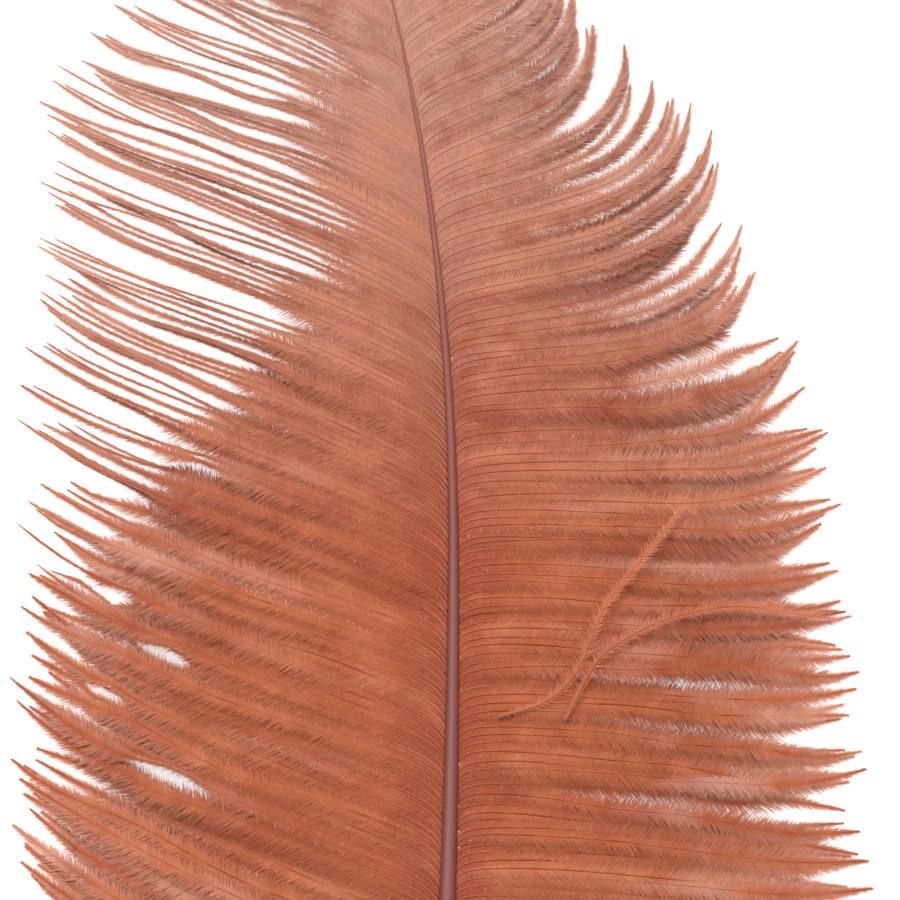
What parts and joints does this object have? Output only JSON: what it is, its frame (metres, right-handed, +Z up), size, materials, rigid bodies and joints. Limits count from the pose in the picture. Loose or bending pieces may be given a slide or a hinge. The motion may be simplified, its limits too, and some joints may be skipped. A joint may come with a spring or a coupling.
{
  "type": "ostrich feather",
  "caption": "Dyed ostrich feather lying flat, with a bare quill, an arched and bowed shaft, and two wide soft vanes parted into pointed locks.",
  "frame": {"origin": "on the surface that the feather lies on, under the middle of its bounding box", "axes": "+Y along the feather from the quill's end to the crown, +Z up from the surface, +X to the right-hand vane seen from above with the crown at the top"},
  "size_m": [0.1228, 0.378, 0.0178],
  "materials": {
    "barbs": "dyed terracotta, soft and matt, with darker rust barbs under paler peach barbules",
    "shaft": "horn, dyed mauve brown, smooth with a low gloss"
  },
  "bodies": {
    "root": {"feather": "barbs"}
  },
  "joints": []
}
